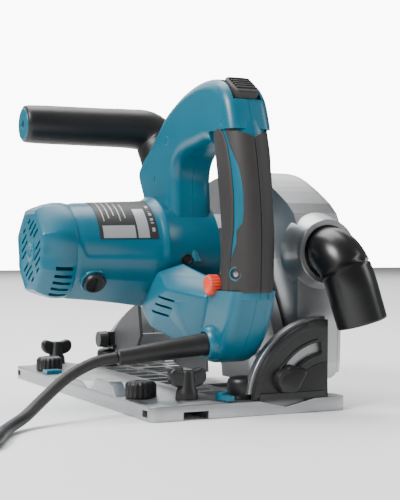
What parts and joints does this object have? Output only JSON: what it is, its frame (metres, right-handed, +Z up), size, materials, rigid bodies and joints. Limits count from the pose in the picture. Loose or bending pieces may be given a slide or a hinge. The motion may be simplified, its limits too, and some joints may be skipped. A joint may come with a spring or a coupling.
{
  "type": "plunge-cut circular saw",
  "caption": "Corded plunge-cut circular saw on a flat base with a bevelling blade case, a D-handle over the motor, a front handle and a dust nozzle.",
  "frame": {"origin": "centre of the base rectangle, on the sole", "axes": "+Y the cutting direction, +X the blade side, +Z up"},
  "size_m": [0.4572, 0.4214, 0.2516],
  "materials": {
    "magnesium": "satin cast and painted",
    "teal_housing": "satin moulded",
    "black_plastic": "satin moulded",
    "grip_rubber": "matt soft-touch",
    "cord_rubber": "matt",
    "blade_steel": "ground",
    "steel": "turned",
    "laminations": "stacked",
    "copper": "lacquered",
    "carbon": "dull",
    "dial_orange": "moulded",
    "dark_panel": "satin with silver scale"
  },
  "bodies": {
    "base": {"base_plate": "magnesium", "rear_angle_guide": "black_plastic", "front_angle_guide": "black_plastic", "rear_pivot_pin": "steel", "front_pivot_pin": "steel"},
    "rear_rail_dial": {"rear_rail_dial": "black_plastic"},
    "front_rail_dial": {"front_rail_dial": "black_plastic"},
    "rear_wing_screw": {"rear_wing_screw": "black_plastic"},
    "front_wing_screw": {"front_wing_screw": "black_plastic"},
    "rear_stop_dial": {"rear_stop_dial": "black_plastic"},
    "front_stop_dial": {"front_stop_dial": "black_plastic"},
    "rail_slide_lever": {"rail_slide_lever": "teal_housing"},
    "tilt_limit_lever": {"tilt_limit_lever": "teal_housing"},
    "case": {"blade_case": "magnesium", "case_cover": "magnesium", "rear_tilt_plate": "magnesium", "front_tilt_plate": "magnesium", "depth_scale": "dark_panel", "plunge_bolt": "steel", "lift_spring": "steel"},
    "rear_clamp": {"rear_clamp_lever": "black_plastic"},
    "front_clamp": {"front_clamp_lever": "black_plastic"},
    "dust_nozzle": {"dust_nozzle": "black_plastic"},
    "depth_stop": {"depth_stop": "black_plastic"},
    "head": {"gear_housing": "magnesium", "bearing_plate": "magnesium", "motor_housing": "teal_housing", "motor_end_cap": "teal_housing", "stator": "laminations", "rear_bearing": "steel", "lower_brush": "carbon", "upper_brush": "carbon", "lower_brush_cap": "black_plastic", "upper_brush_cap": "black_plastic", "handle_left": "teal_housing", "handle_right": "teal_housing", "grip_left": "grip_rubber", "grip_right": "grip_rubber", "trigger_switch": "black_plastic", "speed_controller": "black_plastic", "front_handle": "black_plastic", "front_handle_cap": "teal_housing", "strain_relief": "cord_rubber", "cord": "cord_rubber", "cord_tail": "cord_rubber", "cord_coil": "cord_rubber", "plug": "cord_rubber"},
    "trigger": {"trigger": "black_plastic"},
    "lock_off_button": {"lock_off_button": "black_plastic"},
    "speed_dial": {"speed_dial": "dial_orange"},
    "shaft_lock": {"shaft_lock": "black_plastic"},
    "spindle": {"spindle": "steel", "driven_gear": "steel", "inner_flange": "steel", "flange_bolt": "steel", "saw_blade": "blade_steel"},
    "armature": {"armature_shaft": "steel", "armature_core": "copper", "commutator": "copper", "fan": "black_plastic"}
  },
  "joints": [
    {"name": "bevel", "type": "hinge", "parent": "base", "child": "case", "pos_m": [0.066, 0, 0.0045], "axis": [0, 1, 0], "range_deg": [-1, 48]},
    {"name": "plunge", "type": "hinge", "parent": "case", "child": "head", "pos_m": [0, -0.125, 0.035], "axis": [-1, 0, 0], "range_deg": [0, 31.4], "stiffness_Nm_per_rad": 4, "springref_deg": -85.94},
    {"name": "trigger_pull", "type": "hinge", "parent": "head", "child": "trigger", "pos_m": [0, -0.134, 0.19], "axis": [-1, 0, 0], "range_deg": [0, 8], "stiffness_Nm_per_rad": 0.3, "springref_deg": -11.46},
    {"name": "lock_off_press", "type": "slide", "parent": "head", "child": "lock_off_button", "axis": [0, 0, -1], "range_m": [0, 0.003], "stiffness_N_per_m": 600, "springref_m": -0.003},
    {"name": "speed_dial_turn", "type": "hinge", "parent": "head", "child": "speed_dial", "pos_m": [-0.02, -0.137, 0.096], "axis": [-1, 0, 0], "range_deg": [-120, 120]},
    {"name": "shaft_lock_press", "type": "slide", "parent": "head", "child": "shaft_lock", "axis": [0, 0, -1], "range_m": [0, 0.004], "stiffness_N_per_m": 600, "springref_m": -0.003},
    {"name": "blade_spin", "type": "hinge", "parent": "head", "child": "spindle", "pos_m": [0.068, -0.012, 0.094], "axis": [1, 0, 0], "continuous": true},
    {"name": "armature_spin", "type": "hinge", "parent": "head", "child": "armature", "pos_m": [0, -0.02815, 0.12046], "axis": [1, 0, 0], "continuous": true},
    {"name": "rear_clamp_turn", "type": "hinge", "parent": "case", "child": "rear_clamp", "pos_m": [0.02671, -0.165, 0.02539], "axis": [0, 1, 0], "range_deg": [0, 50]},
    {"name": "front_clamp_turn", "type": "hinge", "parent": "case", "child": "front_clamp", "pos_m": [0.02671, 0.1565, 0.02539], "axis": [0, 1, 0], "range_deg": [0, 50]},
    {"name": "nozzle_swivel", "type": "hinge", "parent": "case", "child": "dust_nozzle", "pos_m": [0.071, -0.1438, 0.121], "axis": [0, -1, 0], "range_deg": [-12, 100]},
    {"name": "depth_stop_slide", "type": "hinge", "parent": "case", "child": "depth_stop", "pos_m": [0.003, 0.015, -0.109], "axis": [1, 0, 0], "range_deg": [0, 19]},
    {"name": "rear_rail_dial_turn", "type": "hinge", "parent": "base", "child": "rear_rail_dial", "pos_m": [-0.066, -0.111, 0], "axis": [0, 0, 1], "range_deg": [-45, 45]},
    {"name": "front_rail_dial_turn", "type": "hinge", "parent": "base", "child": "front_rail_dial", "pos_m": [-0.066, 0.111, 0], "axis": [0, 0, 1], "range_deg": [-45, 45]},
    {"name": "rear_wing_screw_turn", "type": "hinge", "parent": "base", "child": "rear_wing_screw", "pos_m": [-0.046, -0.151, 0], "axis": [0, 0, 1], "range_deg": [-90, 90]},
    {"name": "front_wing_screw_turn", "type": "hinge", "parent": "base", "child": "front_wing_screw", "pos_m": [-0.046, 0.151, 0], "axis": [0, 0, 1], "range_deg": [-90, 90]},
    {"name": "rear_stop_dial_turn", "type": "hinge", "parent": "base", "child": "rear_stop_dial", "pos_m": [0.003, -0.144, 0], "axis": [0, 0, 1], "range_deg": [-90, 90]},
    {"name": "front_stop_dial_turn", "type": "hinge", "parent": "base", "child": "front_stop_dial", "pos_m": [0.003, 0.136, 0], "axis": [0, 0, 1], "range_deg": [-90, 90]},
    {"name": "tilt_limit_turn", "type": "hinge", "parent": "base", "child": "tilt_limit_lever", "pos_m": [-0.017, -0.15, 0], "axis": [0, 0, 1], "range_deg": [-60, 0]},
    {"name": "rail_lever_slide", "type": "slide", "parent": "base", "child": "rail_slide_lever", "axis": [0, 1, 0], "range_m": [0, 0.008]}
  ],
  "couplings": [
    {"joint": "armature_spin", "follows": "blade_spin", "ratio": -2.8}
  ]
}
